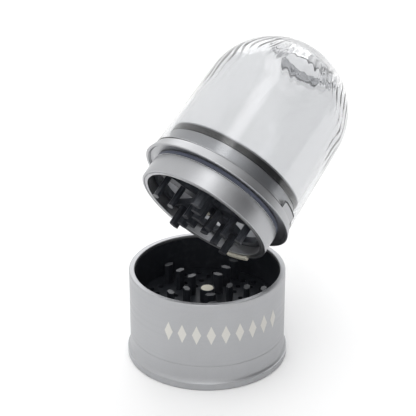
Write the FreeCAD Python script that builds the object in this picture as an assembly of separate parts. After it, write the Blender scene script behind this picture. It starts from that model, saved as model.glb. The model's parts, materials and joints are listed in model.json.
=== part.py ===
import FreeCAD
import Part
import math
import os

# Two-stage hand grinder with a clear dome jar: millimetres, +Z up, origin at the centre of its base.
# The cup stands upright on its tray. The lid is drawn upright with its skirt opening at height 0,
# and is then leaned over the cup, where it is held open.

# ---- driving dimensions: tray and cup
body_radius = 31.5
foot_radius = 32.6
foot_top = 2.9
flare_top = 5.3
seam_height = 10.4
seam_gap = 0.15
rim_height = 38.0
rim_inner_radius = 29.3
rim_lip_depth = 1.4
rim_chamfer = 0.45
shell_bore_radius = 30.1
shell_fit = 0.08
tray_floor = 2.4
tray_inner_radius = 27.2
tray_inner_fillet = 3.0
spigot_top = 15.6
spigot_lead_in = 0.5
foot_edge = 0.7
flare_hollow = 0.2
seal_section_radius = 0.4
seal_rise = 1.4
seal_room = 0.06
seal_clear = 0.02
insert_ring_bottom = 16.2
insert_ring_inner_radius = 26.6
spanner_notch_width = 3.0
spanner_notch_depth = 1.6
spanner_notch_count = 2
close_gap = 0.05

# ---- driving dimensions: lower grinder
lower_floor_bottom = 19.0
lower_floor_top = 22.0
lower_tooth_top = 30.6
lower_tooth_rows = [9.2, 16.2, 23.1]
lower_arm_azimuth = -10.3
arm_count = 5
post_radius = 3.0
lower_post_top = 28.6
magnet_radius = 2.5
magnet_depth = 2.0
magnet_edge = 0.2
magnet_proud = 0.05
sieve_hole_radius = 1.15
# rows of sieve holes between two arms: distance from the centre, and turns either side of the middle
sieve_rows = [
    (14.0, [-12.0, 12.0]),
    (18.3, [-20.0, 0.0, 20.0]),
    (21.8, [-9.0, 9.0]),
    (23.2, [-24.0, 24.0]),
    (25.2, [-14.5, 0.0, 14.5]),
]

# ---- driving dimensions: teeth
tooth_half_length = 2.3
tooth_half_width = 1.2
tooth_shoulder = 0.5

# ---- driving dimensions: lid, upright, heights counted from the skirt opening
skirt_radius = 28.5
skirt_inner_radius = 25.9
skirt_height = 8.4
skirt_groove_radius = 27.4
skirt_groove_width = 0.3
skirt_groove_depth = 0.35
skirt_edge_chamfer = 0.25
ledge_gap = 0.02
neck_radius = 27.2
neck_bore_radius = 26.6
neck_top = 13.0
plate_bottom = 4.4
plate_top = 7.2
plate_radius = 26.55
plate_ring_width = 3.0
hub_radius = 6.2
upper_arm_width = 5.4
upper_arm_azimuth = 182.7
upper_tooth_tip = -4.7
upper_tooth_rows = [5.4, 12.7, 19.7]
upper_post_bottom = 1.9
ball_radius = 2.5
ball_height = 3.2
ball_clearance = 0.05
washer_bottom = 8.45
washer_top = 8.68
washer_inset = 0.05
slip_bottom = 8.98
slip_top = 10.45
slip_inner_radius = 27.3
slip_outer_radius = 28.2
slip_edge = 0.15
lip_bottom = 9.75
lip_radius = 33.1
lip_inner_radius = 31.95
recess_top = 10.75
recess_outer_radius = 31.2
collar_inner_radius = 27.25
collar_top = 13.85
collar_top_radius = 31.6
collar_edge_round = 0.3
tab_top = 16.6
tab_inner_radius = 29.8
tab_start = 316.0
tab_sweep = 23.0
tab_corner = 1.0
tab_inset = 0.05
tab_root = 0.5
tab_count = 2
neck_ring_spigot_radius = 26.5
neck_ring_spigot_bore = 24.8
neck_ring_bottom = 7.25
neck_ring_flange = 13.95
neck_ring_radius = 28.95
neck_ring_bore = 26.8
neck_ring_top = 23.2
neck_ring_chamfer = 0.4
seal_bottom = 19.7
seal_top = 22.4
seal_inner_radius = 28.2
seal_outer_radius = 29.22
seal_edge = 0.2
pad_inner_radius = 26.6
pad_outer_radius = 28.4
pad_thickness = 1.3
pad_start = 25.5
pad_sweep = 24.0
pad_gap = 0.02

# ---- driving dimensions: dome
dome_mouth = 13.95
dome_mouth_radius = 31.6
dome_shoulder = 53.5
dome_shoulder_radius = 30.6
dome_wall = 2.0
tab_gap = 0.3
pocket_floor = 76.8
pocket_floor_thickness = 1.8
pocket_corner_radius = 10.8
pocket_wall = 1.8
pocket_azimuth = 42.0
pocket_sides = 8

# ---- driving dimensions: how the open lid is held over the cup
lid_tilt = 54.69
lid_azimuth = 49.70
ball_rest_height = 63.84

Z_AXIS = FreeCAD.Vector(0, 0, 1)
ORIGIN = FreeCAD.Vector(0, 0, 0)


def polar(radius, azimuth, height=0.0):
    """The point at a radius, an azimuth in degrees and a height."""
    angle = math.radians(azimuth)
    return FreeCAD.Vector(radius * math.cos(angle), radius * math.sin(angle), height)


def section_point(point):
    """A (radius, height) pair as a point of the half plane that is turned round Z."""
    return FreeCAD.Vector(point[0], 0, point[1])


def turned(points):
    """The solid turned round Z from a closed outline of (radius, height) pairs."""
    outline = [section_point(p) for p in points]
    outline.append(outline[0])
    return Part.Face(Part.makePolygon(outline)).revolve(ORIGIN, Z_AXIS, 360)


def turned_edges(edges):
    """The solid turned round Z from a closed outline of edges in the XZ plane."""
    return Part.Face(Part.Wire(edges)).revolve(ORIGIN, Z_AXIS, 360)


def tube(inner, outer, bottom, top):
    """A plain ring."""
    return turned([(inner, bottom), (outer, bottom), (outer, top), (inner, top)])


def line(a, b):
    """A straight edge between two (radius, height) pairs."""
    return Part.LineSegment(section_point(a), section_point(b)).toShape()


def arc(a, middle, b):
    """An arc through three (radius, height) pairs."""
    return Part.Arc(section_point(a), section_point(middle), section_point(b)).toShape()


def prism(corners, bottom, top):
    """An upright prism over a list of points, which may be at any height."""
    outline = [FreeCAD.Vector(p.x, p.y, bottom) for p in corners]
    outline.append(outline[0])
    return Part.Face(Part.makePolygon(outline)).extrude(FreeCAD.Vector(0, 0, top - bottom))


def tooth(radius, azimuth, bottom, top):
    """A six-sided tooth, long across the arm that carries it."""
    half = tooth_half_length
    width = tooth_half_width
    shoulder = half * tooth_shoulder
    corners = [(0, half), (-width, shoulder), (-width, -shoulder)]
    corners += [(0, -half), (width, -shoulder), (width, shoulder)]
    shape = prism([FreeCAD.Vector(radius + x, y, 0) for x, y in corners], bottom, top)
    shape.rotate(ORIGIN, Z_AXIS, azimuth)
    return shape


def teeth(rows, first_azimuth, bottom, top):
    """Every tooth of one grinder, row by row along each arm, as a group of separate pins."""
    step = 360.0 / arm_count
    return Part.makeCompound([
        tooth(radius, first_azimuth + arm * step, bottom, top)
        for arm in range(arm_count)
        for radius in rows
    ])


def sector(inner, outer, start, sweep, bottom, top):
    """Part of a ring, from one azimuth through a sweep in degrees."""
    a = polar(inner, start, bottom)
    b = polar(outer, start, bottom)
    c = polar(outer, start + sweep, bottom)
    d = polar(inner, start + sweep, bottom)
    outer_middle = polar(outer, start + sweep / 2, bottom)
    inner_middle = polar(inner, start + sweep / 2, bottom)
    edges = [
        Part.LineSegment(a, b).toShape(),
        Part.Arc(b, outer_middle, c).toShape(),
        Part.LineSegment(c, d).toShape(),
        Part.Arc(d, inner_middle, a).toShape(),
    ]
    return Part.Face(Part.Wire(edges)).extrude(FreeCAD.Vector(0, 0, top - bottom))


def catch_tray():
    """The tray: flared foot, wall up to the seam, and the spigot that the cup screws on to."""
    spigot = shell_bore_radius - shell_fit
    flare_mid_radius = (foot_radius + body_radius) / 2 - flare_hollow
    flare_mid_height = (foot_top + flare_top) / 2 - flare_hollow
    lead_in = spigot_lead_in
    fillet = tray_inner_fillet
    bend = fillet * (1 - math.sqrt(0.5))
    foot_inset = foot_radius - foot_edge
    inner_low = tray_inner_radius - fillet
    edges = [
        line((0, 0), (foot_inset, 0)),
        line((foot_inset, 0), (foot_radius, foot_edge)),
        line((foot_radius, foot_edge), (foot_radius, foot_top)),
        arc((foot_radius, foot_top), (flare_mid_radius, flare_mid_height), (body_radius, flare_top)),
        line((body_radius, flare_top), (body_radius, seam_height)),
        line((body_radius, seam_height), (spigot, seam_height)),
        line((spigot, seam_height), (spigot, spigot_top - lead_in)),
        line((spigot, spigot_top - lead_in), (spigot - lead_in, spigot_top)),
        line((spigot - lead_in, spigot_top), (tray_inner_radius, spigot_top)),
        line((tray_inner_radius, spigot_top), (tray_inner_radius, tray_floor + fillet)),
        arc(
            (tray_inner_radius, tray_floor + fillet),
            (tray_inner_radius - bend, tray_floor + bend),
            (inner_low, tray_floor),
        ),
        line((inner_low, tray_floor), (0, tray_floor)),
        line((0, tray_floor), (0, 0)),
    ]
    return turned_edges(edges)


def seal_path_radius():
    """The middle of the O-ring, which lies in the cup shell's bore and clears the spigot."""
    return shell_bore_radius - shell_fit + seal_clear + seal_section_radius


def seal_groove():
    """The groove near the foot of the cup shell's bore, a little larger than the O-ring."""
    room = seal_section_radius + seal_room
    height = seam_height + seal_rise
    inside = shell_bore_radius - room
    return tube(inside, seal_path_radius() + room, height - room, height + room)


def tray_seal():
    """The O-ring in the cup shell's groove, round the tray's spigot."""
    middle = FreeCAD.Vector(0, 0, seam_height + seal_rise)
    return Part.makeTorus(seal_path_radius(), seal_section_radius, middle, Z_AXIS)


def cup_shell():
    """The outer sleeve, open below, with a lip inside the rim that the insert comes up against."""
    bottom = seam_height + seam_gap
    c = rim_chamfer
    lip = rim_height - rim_lip_depth
    shape = turned([
        (shell_bore_radius, bottom),
        (body_radius - c / 2, bottom),
        (body_radius, bottom + c / 2),
        (body_radius, rim_height - c),
        (body_radius - c, rim_height),
        (rim_inner_radius + c, rim_height),
        (rim_inner_radius, rim_height - c),
        (rim_inner_radius, lip),
        (shell_bore_radius, lip),
    ])
    return shape.cut(seal_groove())


def cup_liner():
    """The black sleeve that lines the grinding chamber, from the plate up to the rim's lip."""
    outer = shell_bore_radius - shell_fit
    top = rim_height - rim_lip_depth - close_gap
    return tube(rim_inner_radius, outer, lower_floor_top + close_gap, top)


def lower_plate():
    """The black plate that carries the lower teeth, with its sieve holes."""
    outer = shell_bore_radius - shell_fit
    plate = tube(0, outer, lower_floor_bottom, lower_floor_top)
    return plate.cut(Part.makeCompound(sieve_holes()))


def lower_teeth():
    """The pins that stand on the lower plate."""
    return teeth(lower_tooth_rows, lower_arm_azimuth, lower_floor_top, lower_tooth_top)


def lower_post():
    """The post in the middle of the lower plate, with the seat of its magnet."""
    height = lower_post_top - lower_floor_top
    post = Part.makeCylinder(post_radius, height, FreeCAD.Vector(0, 0, lower_floor_top))
    seat_bottom = FreeCAD.Vector(0, 0, lower_post_top - magnet_depth)
    seat = Part.makeCylinder(magnet_radius + close_gap, 2 * magnet_depth, seat_bottom)
    return post.cut(seat)


def sieve_holes():
    """The holes in the sieve floor, the same between every two arms."""
    step = 360.0 / arm_count
    deep = lower_floor_top - lower_floor_bottom + 2
    holes = []
    for arm in range(arm_count):
        middle = lower_arm_azimuth + (arm + 0.5) * step
        for radius, turns in sieve_rows:
            for turn in turns:
                foot = polar(radius, middle + turn, lower_floor_bottom - 1)
                holes.append(Part.makeCylinder(sieve_hole_radius, deep, foot))
    return holes


def lower_magnet():
    """The disc magnet in the lower post, with its edge broken."""
    bottom = lower_post_top - magnet_depth + magnet_proud
    top = lower_post_top + magnet_proud
    return turned([
        (0, bottom),
        (magnet_radius, bottom),
        (magnet_radius, top - magnet_edge),
        (magnet_radius - magnet_edge, top),
        (0, top),
    ])


def insert_ring():
    """The threaded ring that holds the insert up in the shell, with two spanner notches."""
    outer = shell_bore_radius - shell_fit
    top = lower_floor_bottom - close_gap
    ring = tube(insert_ring_inner_radius, outer, insert_ring_bottom, top)
    reach = insert_ring_inner_radius + spanner_notch_depth
    corner = FreeCAD.Vector(0, -spanner_notch_width / 2, 0)
    for n in range(spanner_notch_count):
        notch = Part.makeBox(reach, spanner_notch_width, top + close_gap, corner)
        notch.rotate(ORIGIN, Z_AXIS, n * 360.0 / spanner_notch_count)
        ring = ring.cut(notch)
    return ring


def pivot_ball():
    """The ball magnet in the upper post, which the lid is leaned about."""
    return Part.makeSphere(ball_radius, FreeCAD.Vector(0, 0, ball_height))


def skirt_ring():
    """The skirt that drops into the cup, with the ledge for the upper grinder and the neck above."""
    c = skirt_edge_chamfer
    ring = turned([
        (skirt_inner_radius + c, 0),
        (skirt_radius - c, 0),
        (skirt_radius, c),
        (skirt_radius, skirt_height - c),
        (skirt_radius - c, skirt_height),
        (neck_radius, skirt_height),
        (neck_radius, neck_top),
        (neck_bore_radius, neck_top),
        (neck_bore_radius, plate_bottom - ledge_gap),
        (skirt_inner_radius, plate_bottom - ledge_gap),
        (skirt_inner_radius, c),
    ])
    half = skirt_groove_width / 2
    low = -skirt_groove_depth
    groove = tube(skirt_groove_radius - half, skirt_groove_radius + half, low, skirt_groove_depth)
    return ring.cut(groove)


def upper_windows():
    """The openings between the arms, which let the jar's load fall on to the teeth."""
    step = 360.0 / arm_count
    outer = plate_radius - plate_ring_width
    thickness = plate_top - plate_bottom
    disc = tube(hub_radius, outer, plate_bottom - thickness, plate_top + thickness)
    corner = FreeCAD.Vector(0, -upper_arm_width / 2, plate_bottom - 2 * thickness)
    arms = []
    for arm in range(arm_count):
        bar = Part.makeBox(plate_radius, upper_arm_width, 5 * thickness, corner)
        bar.rotate(ORIGIN, Z_AXIS, upper_arm_azimuth + arm * step)
        arms.append(bar)
    return disc.cut(arms)


def upper_plate():
    """The black spoked plate that carries the upper teeth."""
    plate = tube(0, plate_radius, plate_bottom, plate_top)
    return plate.cut([upper_windows(), ball_socket()])


def upper_teeth():
    """The pins that hang from the upper plate."""
    return teeth(upper_tooth_rows, upper_arm_azimuth, upper_tooth_tip, plate_bottom)


def upper_post():
    """The post in the middle of the upper plate, hollowed for the ball."""
    height = plate_bottom - upper_post_bottom
    post = Part.makeCylinder(post_radius, height, FreeCAD.Vector(0, 0, upper_post_bottom))
    return post.cut(ball_socket())


def ball_socket():
    """The room for the ball."""
    return Part.makeSphere(ball_radius + ball_clearance, FreeCAD.Vector(0, 0, ball_height))


def thrust_washer():
    """The thin steel washer on top of the skirt."""
    inner = neck_radius + washer_inset
    return tube(inner, skirt_radius - washer_inset, washer_bottom, washer_top)


def slip_ring():
    """The slate blue ring in the recess, which the lid turns against."""
    edge = slip_edge
    return turned([
        (slip_inner_radius, slip_bottom),
        (slip_outer_radius - edge, slip_bottom),
        (slip_outer_radius, slip_bottom + edge),
        (slip_outer_radius, slip_top - edge),
        (slip_outer_radius - edge, slip_top),
        (slip_inner_radius, slip_top),
    ])


def collar():
    """The flared grip collar: lip over the cup's rim, recess inside it, and key tabs on top."""
    edge = collar_edge_round
    body = turned([
        (collar_inner_radius, recess_top),
        (recess_outer_radius, recess_top),
        (lip_inner_radius, lip_bottom),
        (lip_radius - edge, lip_bottom),
        (lip_radius, lip_bottom + edge),
        (collar_top_radius, collar_top),
        (collar_inner_radius, collar_top),
    ])
    return body.fuse([key_tab(tab_start + n * 360.0 / tab_count, 0.0) for n in range(tab_count)])


def key_tab(start, gap):
    """A tab on top of the collar with its two upper corners rounded, or its notch with a gap round it."""
    spare = math.degrees(gap / collar_top_radius)
    bottom = collar_top - tab_root
    outer = collar_top_radius - tab_inset + gap * 3
    inner = tab_inner_radius - gap * 6
    block = sector(inner, outer, start - spare, tab_sweep + 2 * spare, bottom, tab_top + gap)
    upright = [e for e in block.Edges if is_upper_corner(e, tab_top + gap)]
    return block.makeFillet(tab_corner, upright)


def is_upper_corner(edge, height):
    """Whether an edge is one of the two straight radial edges at the tab's top."""
    if not isinstance(edge.Curve, Part.Line):
        return False
    return all(math.isclose(v.Z, height) for v in edge.Vertexes)


def neck_ring():
    """The ring that clamps the plate and the collar, and that the dome's mouth slides over."""
    chamfer = neck_ring_chamfer
    return turned([
        (neck_ring_spigot_bore, neck_ring_bottom),
        (neck_ring_spigot_radius, neck_ring_bottom),
        (neck_ring_spigot_radius, neck_ring_flange),
        (neck_ring_radius, neck_ring_flange),
        (neck_ring_radius, seal_bottom),
        (seal_inner_radius, seal_bottom),
        (seal_inner_radius, seal_top),
        (neck_ring_radius, seal_top),
        (neck_ring_radius, neck_ring_top - chamfer),
        (neck_ring_radius - chamfer, neck_ring_top),
        (neck_ring_bore, neck_ring_top),
        (neck_ring_bore, neck_ring_flange),
        (neck_ring_spigot_bore, neck_ring_flange),
    ])


def dome_seal():
    """The black band that grips the inside of the dome."""
    edge = seal_edge
    gap = close_gap
    return turned([
        (seal_inner_radius + gap, seal_bottom + gap),
        (seal_outer_radius - edge, seal_bottom + gap),
        (seal_outer_radius, seal_bottom + gap + edge),
        (seal_outer_radius, seal_top - gap - edge),
        (seal_outer_radius - edge, seal_top - gap),
        (seal_inner_radius + gap, seal_top - gap),
    ])


def rim_pad():
    """The small cream pad under the skirt's edge."""
    return sector(pad_inner_radius, pad_outer_radius, pad_start, pad_sweep, -pad_thickness, -pad_gap)


def dome_body(inset):
    """The solid dome: tapered wall and round crown, drawn in by an inset."""
    mouth = dome_mouth_radius - inset
    shoulder = dome_shoulder_radius - inset
    apex = dome_shoulder + shoulder
    slant = math.sqrt(0.5) * shoulder
    edges = [
        line((0, dome_mouth), (mouth, dome_mouth)),
        line((mouth, dome_mouth), (shoulder, dome_shoulder)),
        arc((shoulder, dome_shoulder), (slant, dome_shoulder + slant), (0, apex)),
        line((0, apex), (0, dome_mouth)),
    ]
    return turned_edges(edges)


def octagon(radius):
    """The corners of the eight-sided pocket."""
    step = 360.0 / pocket_sides
    return [polar(radius, pocket_azimuth + n * step) for n in range(pocket_sides)]


def dome():
    """The clear jar: thin wall, eight-sided pocket in the crown, and notches for the key tabs."""
    outside = dome_body(0)
    top = dome_shoulder + dome_mouth_radius
    inside = dome_body(dome_wall)
    boss_radius = pocket_corner_radius + pocket_wall
    boss = prism(octagon(boss_radius), pocket_floor - pocket_floor_thickness, top)
    shape = outside.cut(inside.cut(boss))
    shape = shape.cut(prism(octagon(pocket_corner_radius), pocket_floor, top))
    notches = [key_tab(tab_start + n * 360.0 / tab_count, tab_gap) for n in range(tab_count)]
    return shape.cut(Part.makeCompound(notches))


def lean_lid(shape):
    """Move a piece of the upright lid to where the open lid is held over the cup."""
    lean = math.radians(lid_azimuth)
    axis = FreeCAD.Vector(-math.sin(lean), math.cos(lean), 0)
    rise = FreeCAD.Vector(0, 0, ball_rest_height - ball_height)
    ball = FreeCAD.Vector(0, 0, ball_height)
    moved = shape.copy()
    moved.rotate(ball, axis, lid_tilt)
    moved.translate(rise)
    return moved


def save(name, shape, solids=1):
    """Write one sub-part, after making sure that it is sound and holds as many solids as it should."""
    if not shape.isValid():
        raise RuntimeError(name + " is not valid")
    if len(shape.Solids) != solids:
        raise RuntimeError(name + " holds the wrong number of solids")
    whole = shape.Solids[0] if solids == 1 else Part.makeCompound(shape.Solids)
    whole.exportStep(os.path.join("parts", name + ".step"))
    print(name, round(shape.Volume, 1), "mm3")


upright_pieces = {
    "catch_tray": catch_tray,
    "tray_seal": tray_seal,
    "cup_shell": cup_shell,
    "cup_liner": cup_liner,
    "insert_ring": insert_ring,
    "lower_plate": lower_plate,
    "lower_teeth": lower_teeth,
    "lower_post": lower_post,
    "lower_magnet": lower_magnet,
}
lid_pieces = {
    "pivot_ball": pivot_ball,
    "slip_ring": slip_ring,
    "skirt_ring": skirt_ring,
    "upper_plate": upper_plate,
    "upper_teeth": upper_teeth,
    "upper_post": upper_post,
    "thrust_washer": thrust_washer,
    "collar": collar,
    "neck_ring": neck_ring,
    "dome_seal": dome_seal,
    "rim_pad": rim_pad,
    "dome": dome,
}
solid_counts = {
    "lower_teeth": arm_count * len(lower_tooth_rows),
    "upper_teeth": arm_count * len(upper_tooth_rows),
}

os.makedirs("parts", exist_ok=True)
for piece, make in upright_pieces.items():
    save(piece, make(), solid_counts.get(piece, 1))
for piece, make in lid_pieces.items():
    save(piece, lean_lid(make()), solid_counts.get(piece, 1))
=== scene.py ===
import json
import math
import random
from collections import namedtuple

import bmesh
import bpy
from bpy.props import FloatProperty, FloatVectorProperty, IntProperty, PointerProperty
from bpy.types import Operator, Panel, PropertyGroup
from mathutils import Matrix, Vector


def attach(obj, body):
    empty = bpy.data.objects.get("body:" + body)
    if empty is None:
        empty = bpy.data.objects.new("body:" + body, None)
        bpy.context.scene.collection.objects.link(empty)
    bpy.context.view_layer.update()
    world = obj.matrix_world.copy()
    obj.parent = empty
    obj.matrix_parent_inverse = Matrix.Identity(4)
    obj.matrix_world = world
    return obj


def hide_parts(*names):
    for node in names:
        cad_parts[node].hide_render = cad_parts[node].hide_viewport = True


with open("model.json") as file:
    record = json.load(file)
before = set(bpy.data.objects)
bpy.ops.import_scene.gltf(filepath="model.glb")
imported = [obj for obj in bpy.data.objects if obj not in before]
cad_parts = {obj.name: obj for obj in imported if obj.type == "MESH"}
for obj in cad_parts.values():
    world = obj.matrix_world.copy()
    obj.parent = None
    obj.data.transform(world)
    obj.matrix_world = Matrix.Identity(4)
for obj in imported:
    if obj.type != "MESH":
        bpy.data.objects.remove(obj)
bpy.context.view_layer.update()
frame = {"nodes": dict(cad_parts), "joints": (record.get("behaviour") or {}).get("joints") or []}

bl_info = {
    "name": "Dome Grinder",
    "version": (1, 0, 0),
    "blender": (4, 5, 0),
    "location": "3D View > Sidebar > Grinder",
    "description": "Dresses a two-stage hand grinder with a clear dome jar around its packed frame",
    "category": "Object",
}

Extent = namedtuple("Extent", "inner outer bottom top")
UPRIGHT = Matrix.Identity(4)


# -------- places taken from the frame


def joint(name):
    """One joint of the frame, by name."""
    return next(j for j in frame["joints"] if j["name"] == name)


def extent(node, place):
    """A turned piece's radii and heights about the Z axis of a place."""
    back = place.inverted()
    points = [back @ v.co for v in frame["nodes"][node].data.vertices]
    radii = [math.hypot(p.x, p.y) for p in points]
    heights = [p.z for p in points]
    return Extent(min(radii), max(radii), min(heights), max(heights))


def lid_place():
    """The upright lid's way to where it is held open: height 0 is the skirt's opening."""
    spin = joint("grind_spin")
    turn = Vector((0, 0, 1)).rotation_difference(Vector(spin["axis"]))
    at_ball = Matrix.Translation(Vector(spin["pos_m"])) @ turn.to_matrix().to_4x4()
    opening = extent("skirt_ring", at_ball).bottom
    return at_ball @ Matrix.Translation((0, 0, opening))


LID = lid_place()
TRAY = extent("catch_tray", UPRIGHT)
SHELL = extent("cup_shell", UPRIGHT)
TRAY_SEAL = extent("tray_seal", UPRIGHT)
LINER = extent("cup_liner", UPRIGHT)
LOWER_TEETH = extent("lower_teeth", UPRIGHT)
LOWER_POST = extent("lower_post", UPRIGHT)
LOWER_MAGNET = extent("lower_magnet", UPRIGHT)
SKIRT = extent("skirt_ring", LID)
UPPER_TEETH = extent("upper_teeth", LID)
BALL = extent("pivot_ball", LID)
WASHER = extent("thrust_washer", LID)
SLIP = extent("slip_ring", LID)
COLLAR = extent("collar", LID)
NECK = extent("neck_ring", LID)
SEAL = extent("dome_seal", LID)
PAD = extent("rim_pad", LID)
DOME = extent("dome", LID)


# -------- sizes and colours


def size(name, description, default):
    """A length that a user may change."""
    return FloatProperty(name=name, description=description, default=default, unit="LENGTH", precision=5)


def angle(name, description, degrees):
    """An angle that a user may change."""
    return FloatProperty(name=name, description=description, default=math.radians(degrees), unit="ROTATION")


def colour(name, description, default):
    """A colour that a user may change."""
    return FloatVectorProperty(name=name, description=description, default=default, subtype="COLOR")


def tally(name, description, default):
    """A whole number that a user may change."""
    return IntProperty(name=name, description=description, default=default)


def number(name, description, default):
    """A plain number that a user may change."""
    return FloatProperty(name=name, description=description, default=default)


class CupSizes(PropertyGroup):
    """Sizes of the tray and cup that the frame doesn't give."""
    foot_top: size("Foot top", "Height of the foot's straight edge", 0.0029)
    flare_top: size("Flare top", "Height where the foot's flare meets the wall", 0.0053)
    foot_edge: size("Foot edge", "Broken edge under the foot", 0.0007)
    seam: size("Seam", "Height of the shoulder that the cup sits on", 0.0104)
    seam_line: size("Seam line", "Width of the line where cup and tray meet", 0.00005)
    bore: size("Bore", "Bore of the shell, over the tray's spigot", 0.0301)
    seal_room: size("Seal room", "Room round the O-ring in the bore's groove", 0.00006)
    spigot_edge: size("Spigot edge", "Broken edge at the spigot's top", 0.0005)
    tray_inner: size("Tray inside", "Inner radius of the tray", 0.0272)
    tray_floor: size("Tray floor", "Thickness of the tray's floor", 0.0024)
    tray_bend: size("Tray bend", "Radius between the tray's floor and wall", 0.003)
    lip_depth: size("Lip depth", "Depth of the lip inside the rim", 0.0014)
    rim_edge: size("Rim edge", "Radius of the rim's two edges", 0.0005)
    liner_edge: size("Liner edge", "Radius of the liner's edges", 0.0001)
    tooth_length: size("Tooth length", "Length of a tooth across its arm", 0.0046)
    tooth_width: size("Tooth width", "Width of a tooth along its arm", 0.0024)
    tooth_edge: size("Tooth edge", "Broken edge of a tooth", 0.00014)
    tooth_wear: size("Tooth wear", "Length of the worn part of a tooth's tip", 0.0003)
    post_edge: size("Post edge", "Radius of the lower post's edges", 0.00015)
    magnet_edge: size("Magnet edge", "Radius of the disc magnet's edges", 0.0002)
    magnet_room: size("Magnet room", "Room round the disc magnet in its seat", 0.00005)


class BandSizes(PropertyGroup):
    """The plain band of lozenges marked on the cup's front."""
    lozenges: tally("Lozenges", "How many lozenges the band has", 9)
    middle: angle("Middle", "Azimuth of the band's middle", -76.6)
    sweep: angle("Sweep", "Angle from the first lozenge to the last", 84.0)
    height: size("Height", "Height of the band's middle over the base", 0.0245)
    tall: size("Lozenge height", "Height of one lozenge", 0.0082)
    wide: size("Lozenge width", "Width of one lozenge", 0.0036)
    proud: size("Proud", "How far the marking stands out of the wall", 0.00004)
    blunt: number("Blunt", "Height of a lozenge's ends as a share of its middle", 0.02)


class LidSizes(PropertyGroup):
    """Sizes of the lid that the frame doesn't give. Heights count from the skirt's opening."""
    skirt_top: size("Skirt top", "Height of the skirt's shoulder", 0.0084)
    ledge: size("Ledge", "Height of the ledge that the plate sits on", 0.00438)
    neck_radius: size("Neck radius", "Outside of the skirt's neck", 0.0272)
    neck_bore: size("Neck bore", "Inside of the skirt's neck", 0.0266)
    groove_radius: size("Groove radius", "Middle of the groove in the skirt's edge", 0.0274)
    groove_width: size("Groove width", "Width of that groove", 0.0003)
    groove_depth: size("Groove depth", "Depth of that groove", 0.00035)
    edge: size("Edge", "Radius of the lid's turned edges", 0.0003)
    recess_top: size("Recess top", "Height of the recess under the lip", 0.01075)
    recess_outer: size("Recess radius", "Outer radius of the recess's ceiling", 0.0312)
    lip_inner: size("Lip inside", "Inner radius of the lip's edge", 0.03195)
    collar_top: size("Collar top", "Height of the collar's upper face", 0.01385)
    collar_top_radius: size("Collar top radius", "Outer radius of the collar's upper edge", 0.0316)
    washer_edge: size("Washer edge", "Radius of the washer's edges", 0.00008)
    slip_edge: size("Slip ring edge", "Radius of the slip ring's edges", 0.00015)
    tab_inner: size("Tab inside", "Inner radius of a key tab", 0.0298)
    tab_inset: size("Tab inset", "How far a key tab stands in from the collar's edge", 0.00005)
    tab_root: size("Tab root", "How far a key tab reaches down into the collar", 0.0003)
    tab_corner: size("Tab corner", "Radius of a key tab's upper corners", 0.001)
    tab_start: angle("Tab start", "Azimuth where the first key tab starts", 316.0)
    tab_sweep: angle("Tab sweep", "Angle that a key tab spans", 23.0)
    tab_count: tally("Tabs", "How many key tabs the collar has", 2)
    flange: size("Flange", "Height of the neck ring's flange", 0.01395)
    spigot_radius: size("Spigot radius", "Outside of the neck ring's spigot", 0.0265)
    neck_wall: size("Neck ring bore", "Inner radius of the neck ring's upper part", 0.0268)
    seal_bed: size("Seal bed", "Radius of the groove that holds the seal", 0.0282)
    seal_room: size("Seal room", "Room above and below the seal in its bed", 0.00005)
    seal_edge: size("Seal edge", "Radius of the seal's edges", 0.0002)
    pad_edge: size("Pad edge", "Broken edge of the pad", 0.0003)
    pad_start: angle("Pad start", "Azimuth where the pad starts", 25.5)
    pad_sweep: angle("Pad sweep", "Angle that the pad spans", 24.0)


class DomeSizes(PropertyGroup):
    """Sizes of the dome. Heights count from the skirt's opening."""
    mouth_radius: size("Mouth radius", "Outer radius at the mouth", 0.0316)
    shoulder: size("Shoulder", "Height where the round crown starts", 0.0535)
    shoulder_radius: size("Shoulder radius", "Outer radius there, and the crown's radius", 0.0306)
    wall: size("Wall", "Thickness of the wall", 0.002)
    edge: size("Mouth edge", "Radius of the mouth's two edges", 0.0005)
    notch_gap: size("Notch gap", "Gap above a key tab in its notch", 0.0003)
    notch_side: size("Notch side gap", "Gap beside a key tab in its notch", 0.0007)
    pocket_floor: size("Pocket floor", "Height of the pocket's floor", 0.0768)
    pocket_bottom: size("Pocket bottom", "Height of the pocket's underside", 0.0750)
    pocket_radius: size("Pocket radius", "Distance from the axis to a corner of the pocket", 0.0108)
    pocket_wall: size("Pocket wall", "Thickness of the pocket's side", 0.0018)
    pocket_rim: size("Pocket rim", "Radius where the crown turns into the pocket", 0.0009)
    pocket_foot: size("Pocket foot", "Radius between the pocket's side and floor", 0.0007)
    pocket_edge: size("Pocket edge", "Radius of the underside's edge", 0.0004)
    pocket_ease: size("Pocket ease", "Width of the soft turn from crown to pocket, inside", 0.0038)
    pocket_turn: angle("Pocket turn", "Azimuth of one corner of the pocket", 42.0)
    flutes: tally("Flutes", "How many flutes run down the inside", 46)
    flute_depth: size("Flute depth", "Depth of the flutes at the crown", 0.00014)
    flute_end: size("Flute end", "Height where the flutes have faded out", 0.028)
    flute_full: size("Flute full", "Height over the shoulder where the flutes are full", 0.014)
    flute_calm: angle("Flute calm", "Angle over which the flutes fade out by the pocket", math.degrees(0.5))
    seed: tally("Seed", "Draws how deep each flute is", 7)
    columns: tally("Columns", "Divisions round the dome", 552)


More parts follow.
